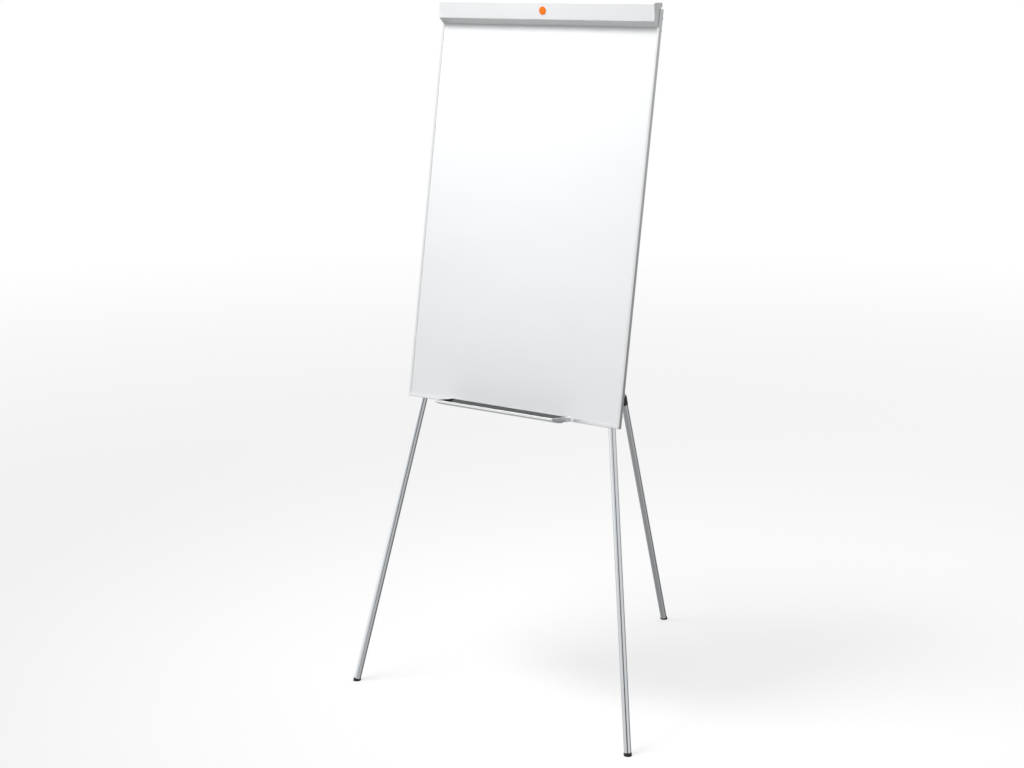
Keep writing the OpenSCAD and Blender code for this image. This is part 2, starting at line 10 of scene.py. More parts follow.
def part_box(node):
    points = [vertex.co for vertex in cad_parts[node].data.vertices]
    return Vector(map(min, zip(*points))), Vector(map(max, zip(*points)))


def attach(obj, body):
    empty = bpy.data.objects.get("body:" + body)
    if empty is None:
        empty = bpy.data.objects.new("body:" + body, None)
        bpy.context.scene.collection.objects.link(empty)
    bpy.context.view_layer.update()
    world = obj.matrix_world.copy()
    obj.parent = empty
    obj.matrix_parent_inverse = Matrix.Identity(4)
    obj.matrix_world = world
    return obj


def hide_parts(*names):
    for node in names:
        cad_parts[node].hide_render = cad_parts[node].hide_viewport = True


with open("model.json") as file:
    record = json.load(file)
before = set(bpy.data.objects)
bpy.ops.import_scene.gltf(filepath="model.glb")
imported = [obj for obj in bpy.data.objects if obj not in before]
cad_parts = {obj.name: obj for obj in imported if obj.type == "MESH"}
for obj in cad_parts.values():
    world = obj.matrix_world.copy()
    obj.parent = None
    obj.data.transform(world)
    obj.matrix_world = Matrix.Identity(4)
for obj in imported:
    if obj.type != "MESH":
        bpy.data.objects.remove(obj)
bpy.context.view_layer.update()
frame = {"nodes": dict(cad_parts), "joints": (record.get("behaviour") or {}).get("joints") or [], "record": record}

MM = 0.001
NODES = frame["nodes"]
JOINTS = {joint["name"]: joint for joint in frame["joints"]}
SIDES = ("left", "right", "rear")
FRONT_SIDES = ("left", "right")


# ---------- Places, all taken from the frame ----------

def joint_place(name):
    return Vector(JOINTS[name]["pos_m"])


def joint_axis(name):
    return Vector(JOINTS[name]["axis"]).normalized()


def axes_at(origin, across, back, up):
    """Matrix of a place whose X, Y and Z axes are across, back and up."""
    place = Matrix((across, back, up)).transposed().to_4x4()
    place.translation = origin
    return place


ACROSS = Vector((1, 0, 0))
BACK = -joint_axis("left_leg_splay")
SLOPE = ACROSS.cross(BACK)


def leg_place(side):
    """At a leg's pivot, with Z up the leg."""
    pivot = joint_place(side + ("_leg_fold" if side == "rear" else "_leg_splay"))
    up = joint_axis(side + "_leg_slide")
    across = BACK.cross(up).normalized()
    return axes_at(pivot, across, up.cross(across), up)


LEG = {side: leg_place(side) for side in SIDES}
CLAMP = axes_at(joint_place("clamp_open"), ACROSS, BACK, SLOPE)
TRAY = axes_at(joint_place("tray_fold"), ACROSS, BACK, SLOPE)
BOARD = axes_at(Vector((0, 0, 0)), ACROSS, BACK, SLOPE)


def local_box(node, place, points=None):
    """Lowest and highest corner of a CAD node along the axes of a place."""
    inverse = place.inverted()
    seen = [inverse @ p for p in (points or [v.co for v in NODES[node].data.vertices])]
    low = Vector([min(p[i] for p in seen) for i in range(3)])
    high = Vector([max(p[i] for p in seen) for i in range(3)])
    return low, high


def islands(node, place):
    """The local box of each separate solid in a CAD node."""
    shape = bmesh.new()
    shape.from_mesh(NODES[node].data)
    bmesh.ops.remove_doubles(shape, verts=shape.verts, dist=0.01 * MM)
    left = set(shape.verts)
    boxes = []
    while left:
        front = [left.pop()]
        points = []
        while front:
            vert = front.pop()
            points.append(vert.co.copy())
            for edge in vert.link_edges:
                other = edge.other_vert(vert)
                if other in left:
                    left.remove(other)
                    front.append(other)
        boxes.append(local_box(node, place, points))
    shape.free()
    return sorted(boxes, key=lambda box: tuple(round(c, 4) for c in box[0]))


# ---------- Shader building ----------

class Look:
    """A Principled material and the nodes that feed it."""

    def __init__(self, name, **inputs):
        self.material = bpy.data.materials.new(name)
        self.material.use_nodes = True
        self.tree = self.material.node_tree
        self.shader = self.tree.nodes["Principled BSDF"]
        self.coords = self.add("ShaderNodeTexCoord").outputs["Object"]
        self.set(**inputs)

    def add(self, kind, *links, **settings):
        node = self.tree.nodes.new(kind)
        for key, value in settings.items():
            setattr(node, key, value)
        for index, value in enumerate(links):
            if isinstance(value, bpy.types.NodeSocket):
                self.tree.links.new(value, node.inputs[index])
            elif value is not None:
                node.inputs[index].default_value = value
        return node

    def set(self, **inputs):
        for key, value in inputs.items():
            socket = self.shader.inputs[key.replace("_", " ")]
            if isinstance(value, bpy.types.NodeSocket):
                self.tree.links.new(value, socket)
            else:
                socket.default_value = value

    def drawn_out(self, direction, stretch):
        """Object coordinates squeezed along a direction, so that what they feed runs along it."""
        along = self.add("ShaderNodeVectorMath", self.coords, direction, operation="DOT_PRODUCT")
        pull = self.add("ShaderNodeVectorMath", direction, operation="SCALE")
        share = self.add("ShaderNodeMath", along.outputs["Value"], 1 / stretch - 1, operation="MULTIPLY")
        self.tree.links.new(share.outputs[0], pull.inputs["Scale"])
        moved = self.add("ShaderNodeVectorMath", self.coords, pull.outputs[0], operation="ADD")
        return moved.outputs[0]

    def noise(self, size, detail=3.0, roughness=0.5, coords=None):
        """Noise from 0 to 1 with blotches about as wide as size, in metres."""
        node = self.add("ShaderNodeTexNoise", coords or self.coords)
        node.inputs["Scale"].default_value = 1 / size
        node.inputs["Detail"].default_value = detail
        node.inputs["Roughness"].default_value = roughness
        return node.outputs["Fac"]

    def spread(self, value, low, high, start=0.3, end=0.7):
        node = self.add("ShaderNodeMapRange", value, start, end, low, high)
        return node.outputs[0]

    def blend(self, share, one, other):
        node = self.add("ShaderNodeMix", data_type="RGBA")
        for index, value in ((0, share), (6, one), (7, other)):
            if isinstance(value, bpy.types.NodeSocket):
                self.tree.links.new(value, node.inputs[index])
            else:
                node.inputs[index].default_value = value
        return node.outputs[2]

    def bump(self, height, depth, strength=1.0, under=None):
        node = self.add("ShaderNodeBump")
        node.inputs["Strength"].default_value = strength
        node.inputs["Distance"].default_value = depth
        self.tree.links.new(height, node.inputs["Height"])
        if under is not None:
            self.tree.links.new(under, node.inputs["Normal"])
        return node.outputs[0]

    def edges(self, radius):
        """1 on outer and inner edges, 0 on flats."""
        rounded = self.add("ShaderNodeBevel", radius, samples=4)
        flat = self.add("ShaderNodeNewGeometry")
        dot = self.add(
            "ShaderNodeVectorMath", rounded.outputs[0], flat.outputs["Normal"], operation="DOT_PRODUCT"
        )
        return self.spread(dot.outputs["Value"], 1.0, 0.0, 0.75, 0.99)


def colour(value, tint=(1, 1, 1)):
    return (value * tint[0], value * tint[1], value * tint[2], 1)


COOL = (0.985, 1.0, 1.01)
BLUISH = (0.96, 0.99, 1.02)


def enamel():
    """Glossy vitreous enamel: faint orange peel, wiped smears in the gloss."""
    look = Look("sheet_white", Roughness=0.12, Coat_Weight=0.35, Coat_Roughness=0.05)
    smear = look.noise(0.35, 4, 0.55, look.drawn_out(ACROSS, 2.5))
    look.set(
        Base_Color=look.blend(look.spread(smear, 0, 1), colour(0.83, COOL), colour(0.86, COOL)),
        Roughness=look.spread(smear, 0.1, 0.22),
        Normal=look.bump(look.noise(0.012, 1), 0.012 * MM),
    )
    return look.material


def brushed(name, base, roughness, direction, metallic=1.0, tint=COOL, dull=0.12, depth=0.015 * MM):
    """Metal drawn along a direction, with long fine lines and cloudy patches in its gloss."""
    look = Look(name, Metallic=metallic)
    lines = look.noise(0.8 * MM, 2, 0.6, look.drawn_out(direction, 250))
    cloud = look.noise(0.09, 3, 0.6)
    shade = look.blend(look.spread(lines, 0, 1), colour(base * 0.93, tint), colour(base * 1.04, tint))
    look.set(
        Base_Color=look.blend(look.spread(cloud, 0, 0.25), shade, colour(base * 0.9, tint)),
        Roughness=look.spread(cloud, roughness, roughness + dull),
        Normal=look.bump(lines, depth, 0.6),
    )
    return look.material


def powder_coat(name, base, wear, tint=COOL, grain=0.7 * MM, drift_share=0.07):
    """Powder coat: fine texture, a little colour drift, bare metal where the edges rub."""
    look = Look(name)
    texture = look.noise(grain, 2, 0.6)
    drift = look.noise(0.05, 3)
    dark, light = colour(base * (1 - drift_share), tint), colour(base * (1 + drift_share), tint)
    coat = look.blend(look.spread(drift, 0, 1), dark, light)
    chips = look.spread(look.noise(4 * MM, 4, 0.7), 0, 1, 0.5, 0.62)
    rubbed = look.add("ShaderNodeMath", look.edges(0.8 * MM), chips, operation="MULTIPLY").outputs[0]
    worn = look.add("ShaderNodeMath", rubbed, wear, operation="MULTIPLY").outputs[0]
    look.set(
        Base_Color=look.blend(worn, coat, colour(0.55)),
        Metallic=worn,
        Roughness=look.spread(texture, 0.38, 0.55),
        Normal=look.bump(texture, 0.05 * MM, 0.7),
    )
    return look.material


def plating():
    """Bright zinc: slightly blue, spangled, duller in patches."""
    look = Look("zinc", Metallic=1.0)
    spangle = look.add("ShaderNodeTexVoronoi", look.coords)
    spangle.inputs["Scale"].default_value = 1 / (3 * MM)
    cloud = look.noise(8 * MM, 3)
    look.set(
        Base_Color=look.blend(look.spread(cloud, 0, 1), colour(0.62, COOL), colour(0.78, COOL)),
        Roughness=look.spread(spangle.outputs["Distance"], 0.2, 0.36, 0, 0.7),
        Normal=look.bump(look.noise(1.2 * MM), 0.02 * MM, 0.5),
    )
    return look.material


def lacquer():
    """Pearl white lacquer over aluminium, with a soft sheen and a hard clear coat."""
    look = Look("clamp_white", Metallic=0.12, Coat_Weight=0.3, Coat_Roughness=0.12)
    pearl = look.noise(0.5 * MM, 2, 0.7)
    drift = look.noise(0.18, 3)
    tone = look.blend(look.spread(drift, 0, 1), colour(0.75, COOL), colour(0.78, COOL))
    look.set(
        Base_Color=look.blend(look.spread(pearl, 0, 0.12), tone, colour(0.97)),
        Roughness=look.spread(pearl, 0.3, 0.42),
        Normal=look.bump(look.noise(6 * MM, 2), 0.015 * MM),
    )
    return look.material


def moulded(name, base, roughness, grain=0.45 * MM, tint=COOL, sheen=0.0):
    """Moulded plastic or rubber: spark-eroded grain, flow marks and polished edges."""
    look = Look(name, Sheen_Weight=sheen)
    texture = look.noise(grain, 2, 0.65)
    flow = look.noise(0.02, 3, 0.5, look.drawn_out(ACROSS, 3))
    rubbed = look.edges(0.6 * MM)
    body = look.blend(look.spread(flow, 0, 1), colour(base * 0.9, tint), colour(base * 1.1, tint))
    look.set(
        Base_Color=look.blend(look.add("ShaderNodeMath", rubbed, 0.35, operation="MULTIPLY").outputs[0],
                              body, colour(base * 1.5 + 0.02, tint)),
        Roughness=look.spread(texture, roughness - 0.07, roughness + 0.08),
        Normal=look.bump(texture, 0.04 * MM, 0.8),
    )
    return look.material


def badge_enamel():
    """Orange resin with a slightly wavy, very glossy surface."""
    look = Look("badge_orange", Roughness=0.3, Coat_Weight=0.25, Coat_Roughness=0.06, Specular_IOR_Level=0.25)
    drift = look.noise(5 * MM, 2)
    look.set(
        Base_Color=look.blend(look.spread(drift, 0, 1), (0.8, 0.165, 0.001, 1), (0.86, 0.19, 0.002, 1)),
        Normal=look.bump(drift, 0.02 * MM),
    )
    return look.material


def pressed_board():
    """Pressed fibre core, seen only where the frame is open."""
    look = Look("core", Roughness=0.9)
    fibre = look.noise(1.5 * MM, 5, 0.7, look.drawn_out(SLOPE, 4))
    look.set(
        Base_Color=look.blend(look.spread(fibre, 0, 1), (0.34, 0.24, 0.13, 1), (0.52, 0.4, 0.25, 1)),
        Normal=look.bump(fibre, 0.2 * MM),
    )
    return look.material


LOOKS = {
    "sheet_white": enamel(),
    "core": pressed_board(),
    "back_grey": powder_coat("back_grey", 0.5, 0.2, grain=2.5 * MM, drift_share=0.03),
    "frame_silver": brushed("frame_silver", 0.78, 0.3, SLOPE),
    "frame_cross": brushed("frame_cross", 0.84, 0.3, ACROSS),
    "steel_plate": powder_coat("steel_plate", 0.62, 0.6),
    "bracket_dark": powder_coat("bracket_dark", 0.045, 0.8),
    "zinc": plating(),
    "clamp_white": lacquer(),
    "cap_grey": moulded("cap_grey", 0.8, 0.42),
    "rubber_black": moulded("rubber_black", 0.012, 0.72, grain=0.9 * MM, sheen=0.08),
    "badge_orange": badge_enamel(),
    "plastic_black": moulded("plastic_black", 0.025, 0.42),
    "tray_silver": brushed("tray_silver", 0.95, 0.3, ACROSS, metallic=0.75),
    "tray_end_silver": brushed("tray_end_silver", 0.9, 0.28, BACK, tint=BLUISH),
    # liner_dark: near-black, partly the liner's own colour and partly painted shade that stands for the shadow
    # inside the tray's trough
    "liner_dark": moulded("liner_dark", 0.035, 0.5, grain=0.7 * MM, tint=BLUISH),
}
for leg_side in SIDES:
    LOOKS["tube_" + leg_side] = brushed(
        "tube_" + leg_side, 0.76, 0.15, joint_axis(leg_side + "_leg_slide"), tint=BLUISH, dull=0.06,
        depth=0.004 * MM,
    )


def look_of(node, slot):
    """The material of a CAD node: the same slot can run along a different direction."""
    if slot == "tube_silver":
        return LOOKS["tube_" + node.rsplit("_", 1)[1]]
    if node.startswith("tray_end"):
        return LOOKS["tray_end_silver"]
    if slot == "frame_silver" and node not in ("frame_left", "frame_right"):
        return LOOKS["frame_cross"]
    return LOOKS[slot]


# ---------- Finish of the CAD nodes: welded, edges rounded, smooth where round ----------

def geometry_group(name, build):
    group = bpy.data.node_groups.new(name, "GeometryNodeTree")
    group.interface.new_socket("Geometry", in_out="INPUT", socket_type="NodeSocketGeometry")
    group.interface.new_socket("Geometry", in_out="OUTPUT", socket_type="NodeSocketGeometry")
    start = group.nodes.new("NodeGroupInput").outputs[0]
    end = group.nodes.new("NodeGroupOutput").inputs[0]
    group.links.new(build(group, start), end)
    return group


def welded(group, shape):
    """Joins the faces and drops the stored normals and sharp marks."""
    merge = group.nodes.new("GeometryNodeMergeByDistance")
    merge.inputs["Distance"].default_value = 0.005 * MM
    group.links.new(shape, merge.inputs["Geometry"])
    shape = merge.outputs[0]
    for name in ("custom_normal", "sharp_edge", "sharp_face"):
        drop = group.nodes.new("GeometryNodeRemoveAttribute")
        drop.inputs["Name"].default_value = name
        group.links.new(shape, drop.inputs["Geometry"])
        shape = drop.outputs[0]
    return shape


def smoothed(group, shape):
    """Smooth shading, with edges over 50 degrees kept sharp."""
    faces = group.nodes.new("GeometryNodeSetShadeSmooth")
    edges = group.nodes.new("GeometryNodeSetShadeSmooth")
    edges.domain = "EDGE"
    angle = group.nodes.new("GeometryNodeInputMeshEdgeAngle")
    gentle = group.nodes.new("FunctionNodeCompare")
    gentle.data_type = "FLOAT"
    gentle.operation = "LESS_THAN"
    gentle.inputs[1].default_value = math.radians(50)
    group.links.new(angle.outputs["Unsigned Angle"], gentle.inputs[0])
    group.links.new(shape, faces.inputs["Geometry"])
    group.links.new(faces.outputs[0], edges.inputs["Geometry"])
    group.links.new(gentle.outputs[0], edges.inputs["Shade Smooth"])
    return edges.outputs[0]


WELDED = geometry_group("welded", welded)
SMOOTHED = geometry_group("smoothed", smoothed)


def round_edges(piece, width):
    """Weld, bevel and shade a piece, all as modifiers. A width of 0 leaves its edges as they are."""
    piece.modifiers.new("welded", "NODES").node_group = WELDED
    if width:
        bevel = piece.modifiers.new("rounded", "BEVEL")
        bevel.width = width
        bevel.segments = 2
        bevel.limit_method = "ANGLE"
        bevel.angle_limit = math.radians(30)
    piece.modifiers.new("smoothed", "NODES").node_group = SMOOTHED
    normals = piece.modifiers.new("normals", "WEIGHTED_NORMAL")
    normals.keep_sharp = True


# Bevel widths in millimetres
EDGE = {
    "face_sheet": 0.1, "board_core": 0.2, "back_sheet": 0.1, "corner_keys": 0.2,
    "top_rail": 0, "lower_rail": 0, "clamp_bar": 0.35, "peg_rail": 0.2,
    "clamp_cap_left": 0.9, "clamp_cap_right": 0.9, "clamp_grip": 0.4,
    "tray_lug_left": 0.35, "tray_lug_right": 0.35, "tray_end_left": 0.5, "tray_end_right": 0.5,
    "pen_tray": 0.3, "rear_leg_bracket": 0.4, "clamp_brackets": 0.3, "clamp_rod": 0.4,
}
USUAL_EDGE = 0.25
for part in frame["record"]["subparts"]:
    cad_node = NODES[part["node"]]
    cad_node.data.materials.clear()
    cad_node.data.materials.append(look_of(part["node"], part["material_slot"]))
    round_edges(cad_node, EDGE.get(part["node"], USUAL_EDGE) * MM)


# ---------- Mesh building ----------

def lathe(profile, steps, shape=None):
    """A profile of (radius, height) turned about Z. shape(radius, height, angle) may change the radius."""
    verts = []
    rings = []
    for radius, height in profile:
        turns = 1 if radius == 0 else steps
        rings.append([len(verts) + k for k in range(turns)])
        for k in range(turns):
            angle = 2 * math.pi * k / steps
            r = shape(radius, height, angle) if shape else radius
            verts.append(Vector((r * math.cos(angle), r * math.sin(angle), height)))
    faces = []
    for low, high in zip(rings, rings[1:]):
        for k in range(steps):
            j = k + 1
            loop = [low[k % len(low)], low[j % len(low)], high[j % len(high)], high[k % len(high)]]
            corners = list(dict.fromkeys(loop))
            if len(corners) > 2:
                faces.append(corners)
    return verts, faces


def dome(radius, foot, top, steps):
    """Profile points of a quarter ellipse from (radius, foot) up to just short of (0, top)."""
    angles = [math.pi / 2 * i / steps for i in range(steps)]
    return [(radius * math.cos(a), foot + (top - foot) * math.sin(a)) for a in angles]


def bridge(ring_count, ring_size):
    """Faces of a closed skin over ring_count rings of ring_size points."""
    faces = []
    for i in range(ring_count - 1):
        for k in range(ring_size):
            j = (k + 1) % ring_size
            a, b = i * ring_size, (i + 1) * ring_size
            faces.append((a + k, a + j, b + j, b + k))
    faces.append(tuple(range(ring_size))[::-1])
    faces.append(tuple((ring_count - 1) * ring_size + k for k in range(ring_size)))
    return faces


def extruded(outline, x0, x1, edge):
    """An outline of (depth, height) drawn from x0 to x1, its end faces eased by edge."""
    centre = Vector((sum(p[0] for p in outline) / len(outline), sum(p[1] for p in outline) / len(outline)))
    verts = []
    for x, inset in ((x0, edge), (x0 + edge, 0), (x1 - edge, 0), (x1, edge)):
        for p in outline:
            point = Vector(p)
            inward = (centre - point).normalized() * inset
            verts.append(Vector((x, point.x + inward.x, point.y + inward.y)))
    return verts, bridge(4, len(outline))


def wire(path, radius, sides):
    """Round wire along a path, with flat ends."""
    verts = []
    lift = Vector((0.02, 0.01, 1)).normalized()
    for i, point in enumerate(path):
        ahead = (path[min(i + 1, len(path) - 1)] - path[max(i - 1, 0)]).normalized()
        side = ahead.cross(lift).normalized()
        lift = side.cross(ahead)
        for k in range(sides):
            angle = 2 * math.pi * k / sides
            verts.append(point + radius * (math.cos(angle) * side + math.sin(angle) * lift))
    return verts, bridge(len(path), sides)


def placed(shape, place):
    verts, faces = shape
    return [place @ v for v in verts], faces


def together(shapes):
    verts = []
    faces = []
    for more_verts, more_faces in shapes:
        faces += [[len(verts) + i for i in face] for face in more_faces]
        verts += more_verts
    return verts, faces


def piece(name, shape, body, slot, replaces=(), cut_at_floor=False):
    """A new mesh piece that rides on a body and stands for CAD nodes."""
    verts, faces = shape
    mesh = bpy.data.meshes.new(name)
    mesh.from_pydata([tuple(v) for v in verts], [], faces)
    work = bmesh.new()
    work.from_mesh(mesh)
    if cut_at_floor:
        geometry = work.verts[:] + work.edges[:] + work.faces[:]
        cut = bmesh.ops.bisect_plane(
            work, geom=geometry, dist=1e-7, plane_co=(0, 0, 0), plane_no=(0, 0, -1), clear_outer=True
        )
        rim = [e for e in cut["geom_cut"] if isinstance(e, bmesh.types.BMEdge)]
        bmesh.ops.contextual_create(work, geom=rim)
    bmesh.ops.recalc_face_normals(work, faces=work.faces)
    work.to_mesh(mesh)
    work.free()
    made = bpy.data.objects.new(name, mesh)
    bpy.context.scene.collection.objects.link(made)
    mesh.materials.append(LOOKS[slot])
    round_edges(made, 0)
    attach(made, body)
    if replaces:
        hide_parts(*replaces)
    return made


def quarter(r, height, ease, up, steps=4):
    """Profile points that round an outer corner of radius ease at (r, height)."""
    points = []
    for i in range(steps + 1):
        angle = math.pi / 2 * i / steps
        points.append((
            r - ease + ease * math.cos(angle),
            height + up * (-ease + ease * math.sin(angle)),
        ))
    return points


# ---------- Fasteners ----------

def cross_head(radius, height, slot_half=0.55 * MM, slot_reach=2.2 * MM, sink=0.8 * MM):
    """Domed screw head on Z = 0 with a cross recess."""
    profile = [(radius, 0.0)] + dome(radius, 0.35 * height, height, 12) + [(0.0, height)]
    verts, faces = lathe(profile, 48)
    for v in verts:
        near, far = sorted((abs(v.x), abs(v.y)))
        if near < slot_half and far < slot_reach and v.z > 0:
            v.z -= sink * min(1, (slot_reach - far) / (0.4 * slot_reach))
    return verts, faces


def rivet_head(radius, height):
    """Blind rivet: low dome with the sheared mandrel in its dimple."""
    profile = [(radius, 0.0), (radius, 0.25 * height)]
    profile += [(radius * math.cos(a), height * (0.25 + 0.75 * math.sin(a))) for a in (0.3, 0.6, 0.85, 1.05)]
    profile += [(0.42 * radius, 0.94 * height), (0.38 * radius, 0.6 * height), (0.3 * radius, 0.6 * height)]
    profile += [(0.27 * radius, 0.8 * height), (0.0, 0.84 * height)]
    return lathe(profile, 32)


def shank(radius, length):
    """Shank below Z = 0 with a chamfered tip."""
    tip = -length
    profile = [(0.0, tip), (0.85 * radius, tip), (radius, tip + 0.3 * MM), (radius, 0.0), (0.0, 0.0)]
    return lathe(profile, 32)


HEAD_UNDER = 1.7 * MM
SHANK_RADIUS = 2.0 * MM
FACING_BACK = Matrix((ACROSS, -SLOPE, BACK)).transposed().to_4x4()


def fasteners(node, head):
    """A head and a shank at each solid of a CAD group of fasteners."""
    shapes = []
    for low, high in islands(node, BOARD):
        centre = (low + high) / 2
        seat = high.y - HEAD_UNDER
        place = FACING_BACK.copy()
        place.translation = BOARD @ Vector((centre.x, seat, centre.z))
        radius = (high.x - low.x) / 2
        shapes.append(placed(head(radius, HEAD_UNDER), place))
        shapes.append(placed(shank(SHANK_RADIUS, seat - low.y), place))
    return together(shapes)


piece("bracket_screw_heads", fasteners("bracket_screws", cross_head), "board", "zinc",
      replaces=["bracket_screws"])
piece("rail_blind_rivets", fasteners("rail_rivets", rivet_head), "board", "zinc",
      replaces=["rail_rivets"])


# ---------- Legs: collars and feet ----------

FLUTES = 14
FLUTE_DEPTH = 0.75 * MM
COLLAR_SKIN = 1.67 * MM
COLLAR_BAND = 5 * MM
COLLAR_TOP = 3 * MM
COLLAR_NECK = 20.7 * MM
FOOT_RIM = 1 * MM


def twist_collar(side):
    """Fluted grip with rounded ends and a plain band at its foot."""
    low, high = local_box("collar_" + side, LEG[side])
    outer = high.x
    bore = local_box("upper_tube_" + side, LEG[side])[1].x + 0.3 * MM
    neck = outer - COLLAR_SKIN
    bottom, top = low.z, high.z
    band = bottom + COLLAR_BAND
    grip_top = top - COLLAR_TOP
    neck_top = bottom + COLLAR_NECK

    def fluted(radius, height, angle):
        if radius < outer - 1.2 * MM:
            return radius
        fade = min(1, max(0, (height - band) / (1.5 * MM)), max(0, (grip_top - height) / (2 * MM)))
        return radius - FLUTE_DEPTH * fade * (0.5 - 0.5 * math.cos(FLUTES * angle)) ** 2

    profile = [(bore, neck_top), (neck, neck_top), (neck, bottom), (outer - 1.0 * MM, bottom)]
    profile += quarter(outer, bottom, 0.8 * MM, -1)[::-1]
    profile += [(outer, band + (grip_top - band) * i / 13) for i in range(14)]
    profile += quarter(outer, top, 1.0 * MM, 1)
    profile += [(bore + 0.3 * MM, top), (bore, top - 0.3 * MM), (bore, neck_top)]
    shape = placed(lathe(profile, FLUTES * 8, fluted), LEG[side])
    piece("twist_collar_" + side, shape, side + "_collar", "plastic_black", replaces=["collar_" + side])


def rubber_foot(side):
    """Rubber cap under the tube's end: two grooves, a low rounded rim and a flat cut on the floor."""
    place = LEG[side]
    low, high = local_box("foot_" + side, place)
    tube_low, tube_high = local_box("lower_tube_" + side, place)
    outer = high.y
    tube = tube_high.x
    end = tube_low.z
    rim = end + FOOT_RIM
    stem = tube - 1.3 * MM
    groove = 0.45 * MM
    fit = 0.06 * MM
    profile = [(0.0, high.z), (stem - 1 * MM, high.z), (stem, high.z - 1 * MM), (stem, end - fit)]
    profile += [(tube + fit, end - fit), (tube + fit, rim - 0.2 * MM)]
    profile += [(tube + 0.2 * MM, rim)] + quarter(outer, rim, 0.5 * MM, 1)[::-1]
    for centre in (end - 1.2 * MM, end - 3.6 * MM):
        profile += [
            (outer, centre + 0.7 * MM), (outer - groove, centre + 0.35 * MM),
            (outer - groove, centre - 0.35 * MM), (outer, centre - 0.7 * MM),
        ]
    profile += [(outer, low.z - 3 * MM), (0.0, low.z - 3 * MM)]
    shape = placed(lathe(profile, 64), place)
    piece("rubber_foot_" + side, shape, side + "_lower", "rubber_black", replaces=["foot_" + side],
          cut_at_floor=True)


for leg_side in SIDES:
    twist_collar(leg_side)
    rubber_foot(leg_side)


# ---------- Pivot pins ----------

PIVOT_RADIUS = 3 * MM


def pin_with_head(place, radius, head_radius, back, head_top, front):
    """Rivet pin along Z with a domed head."""
    profile = [(0.0, front), (radius - 0.3 * MM, front), (radius, front + 0.3 * MM), (radius, back)]
    profile += [(head_radius, back)]
    profile += dome(head_radius, back + 0.3 * (head_top - back), head_top, 6) + [(0.0, head_top)]
    return placed(lathe(profile, 40), place)


def front_pins():
    """The two pins of the front legs, with their heads at the back of the hubs."""
    shapes = []
    hub_back = local_box("leg_hub_left", BOARD)[1].y
    for low, high in islands("front_leg_pins", BOARD):
        centre = (low + high) / 2
        place = FACING_BACK.copy()
        place.translation = BOARD @ Vector((centre.x, 0, centre.z))
        head_radius = (high.x - low.x) / 2
        shapes.append(pin_with_head(place, PIVOT_RADIUS, head_radius, hub_back + 0.05 * MM, high.y, low.y))
    piece("leg_pivot_rivets", together(shapes), "board", "zinc", replaces=["front_leg_pins"])


def rear_pin():
    """The rear leg's pin across its bracket, with a head at each end."""
    low, high = local_box("rear_leg_pin", BOARD)
    centre = (low + high) / 2
    head_radius = (high.z - low.z) / 2
    head = 2.2 * MM
    across = Matrix((SLOPE, BACK, -ACROSS)).transposed().to_4x4()
    across.translation = BOARD @ centre
    half = (high.x - low.x) / 2
    one = pin_with_head(across, PIVOT_RADIUS, head_radius, half - head, half, -half + head)
    facing = Matrix((SLOPE, -BACK, ACROSS)).transposed().to_4x4()
    facing.translation = BOARD @ centre
    other = pin_with_head(
        facing, PIVOT_RADIUS - 0.1 * MM, head_radius, half - head, half, half - head - 0.5 * MM
    )
    piece("rear_hinge_pin", together([one, other]), "board", "zinc", replaces=["rear_leg_pin"])


front_pins()
rear_pin()


# ---------- Clamp: badge and springs ----------

def badge():
    """Plain domed disc in a thin rim on the clamp's front."""
    faces = NODES["clamp_badge"].data.polygons
    front = min(faces, key=lambda face: face.normal.y).normal.copy()
    flat = [face for face in faces if face.normal.dot(front) > 0.99]
    centre = sum((face.center * face.area for face in flat), Vector()) / sum(face.area for face in flat)
    low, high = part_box("clamp_badge")
    radius = (high.x - low.x) / 2
    up = ACROSS.cross(front).normalized()
    place = axes_at(centre - front * 1.0 * MM, ACROSS, -up if up.z < 0 else up, front)
    rim = 0.7 * MM
    bezel = [
        (radius - rim, 0.0), (radius - 0.1 * MM, 0.0), (radius, 0.15 * MM), (radius, 0.65 * MM),
        (radius - 0.2 * MM, 0.9 * MM), (radius - rim + 0.15 * MM, 0.9 * MM), (radius - rim, 0.7 * MM),
        (radius - rim, 0.0),
    ]
    inner = radius - rim - 0.03 * MM
    disc = [(0.0, 0.0), (inner, 0.0)] + dome(inner, 0.6 * MM, 1.0 * MM, 10) + [(0.0, 1.0 * MM)]
    piece("badge_disc", placed(lathe(disc, 64), place), "clamp", "badge_orange", replaces=["clamp_badge"])
    piece("badge_rim", placed(lathe(bezel, 64), place), "clamp", "badge_orange")


badge()


WIRE = 0.5 * MM
WIRE_GAP = 0.5 * MM
COIL_TURNS = 7
SPRING_TOE = -1.4 * MM


def springs():
    """Torsion springs: front leg under the hood, coil round the rod, rear leg on the board's edge."""
    rod_radius = local_box("clamp_rod", CLAMP)[1].z
    shapes = []
    for low, high in islands("clamp_springs", CLAMP):
        side = 1 if low.x > 0 else -1
        start, length = (high.x if side > 0 else low.x), high.x - low.x
        coil = rod_radius + WIRE_GAP + WIRE
        pitch = (length - 2 * WIRE) / COIL_TURNS
        path = [Vector((start - side * WIRE, low.y + WIRE, SPRING_TOE))]
        steps = 24
        for i in range(int((COIL_TURNS + 0.25) * steps) + 1):
            angle = math.pi / 2 - 2 * math.pi * i / steps
            along = start - side * (WIRE + pitch * min(i / steps, COIL_TURNS))
            path.append(Vector((along, coil * math.cos(angle), coil * math.sin(angle))))
        path.append(Vector((path[-1].x, path[-1].y, low.z + WIRE)))
        shapes.append(placed(wire(path, WIRE, 12), CLAMP))
    piece("torsion_springs", together(shapes), "board", "zinc", replaces=["clamp_springs"])


springs()


# ---------- Pad pegs ----------

PIN_RADIUS = 3.0 * MM
PLATE_BACK = -3.3 * MM
PLATE_FRONT = -5.8 * MM


